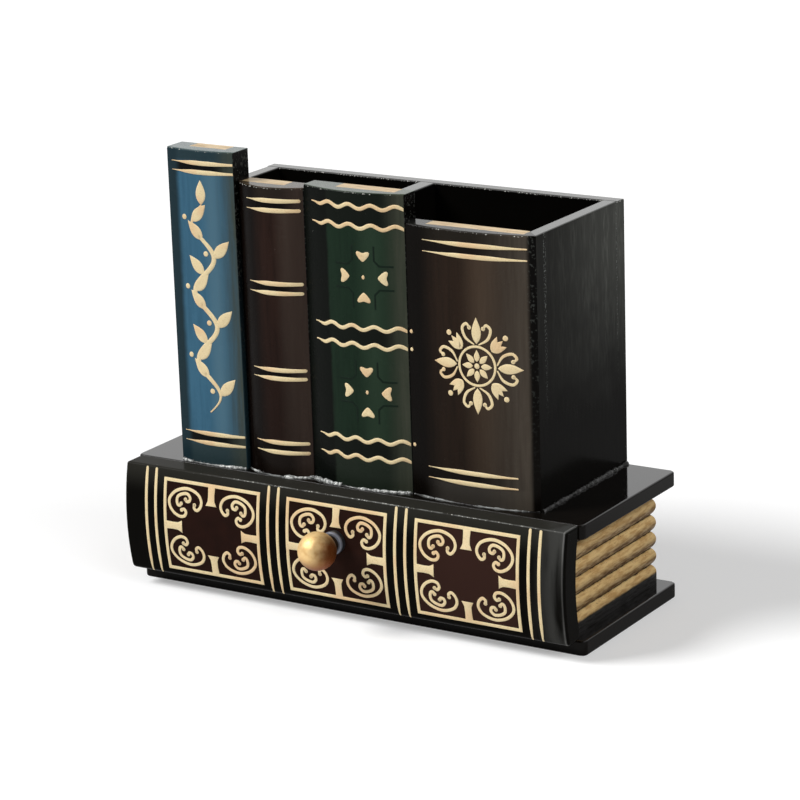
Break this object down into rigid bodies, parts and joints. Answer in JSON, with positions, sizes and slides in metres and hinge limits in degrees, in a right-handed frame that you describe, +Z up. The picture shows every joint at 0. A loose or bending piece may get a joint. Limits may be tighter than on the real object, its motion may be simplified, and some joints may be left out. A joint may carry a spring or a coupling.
{
  "type": "pen holder",
  "caption": "Desk pen holder shaped as books: an open rack with standing book spines for its front wall, on a base like a lying book whose spine is the front of a pull-out drawer.",
  "frame": {"origin": "middle of the bottom board's underside, on the desk", "axes": "+X to the right along the drawer front, +Y to the back, +Z up; the drawer opens towards -Y"},
  "size_m": [0.2028, 0.1073, 0.178],
  "materials": {
    "black_lacquer": "gloss black lacquer over fibreboard",
    "gilt_pages": "antique gold paint rubbed over dark brown",
    "blue_paint": "blue lacquer shaded dark at the edges",
    "brown_paint": "dark red-brown lacquer shaded black at the edges",
    "green_paint": "dark green lacquer shaded black at the edges",
    "umber_paint": "dark umber lacquer shaded black at the edges",
    "drawer_wood": "thin matt black stain over wood",
    "antique_brass": "satin antique brass",
    "steel": "dull zinc plated steel"
  },
  "bodies": {
    "case": {"bottom_board": "black_lacquer", "top_board": "black_lacquer", "left_page_block": "gilt_pages", "right_page_block": "gilt_pages", "rear_page_block": "gilt_pages", "blue_spine": "blue_paint", "brown_spine": "brown_paint", "green_spine": "green_paint", "broad_spine": "umber_paint", "rack_left_wall": "black_lacquer", "rack_right_wall": "black_lacquer", "rack_back_wall": "black_lacquer", "rack_divider": "black_lacquer", "base_brads": "steel", "rack_brads": "steel", "wall_brads": "steel"},
    "drawer": {"drawer_front": "black_lacquer", "drawer_left_side": "drawer_wood", "drawer_right_side": "drawer_wood", "drawer_back": "drawer_wood", "drawer_floor": "drawer_wood", "drawer_brads": "steel", "knob": "antique_brass", "knob_washer": "steel", "knob_screw": "steel"}
  },
  "joints": [
    {"name": "drawer_slide", "type": "slide", "parent": "case", "child": "drawer", "axis": [0, -1, 0], "range_m": [0, 0.042]}
  ]
}
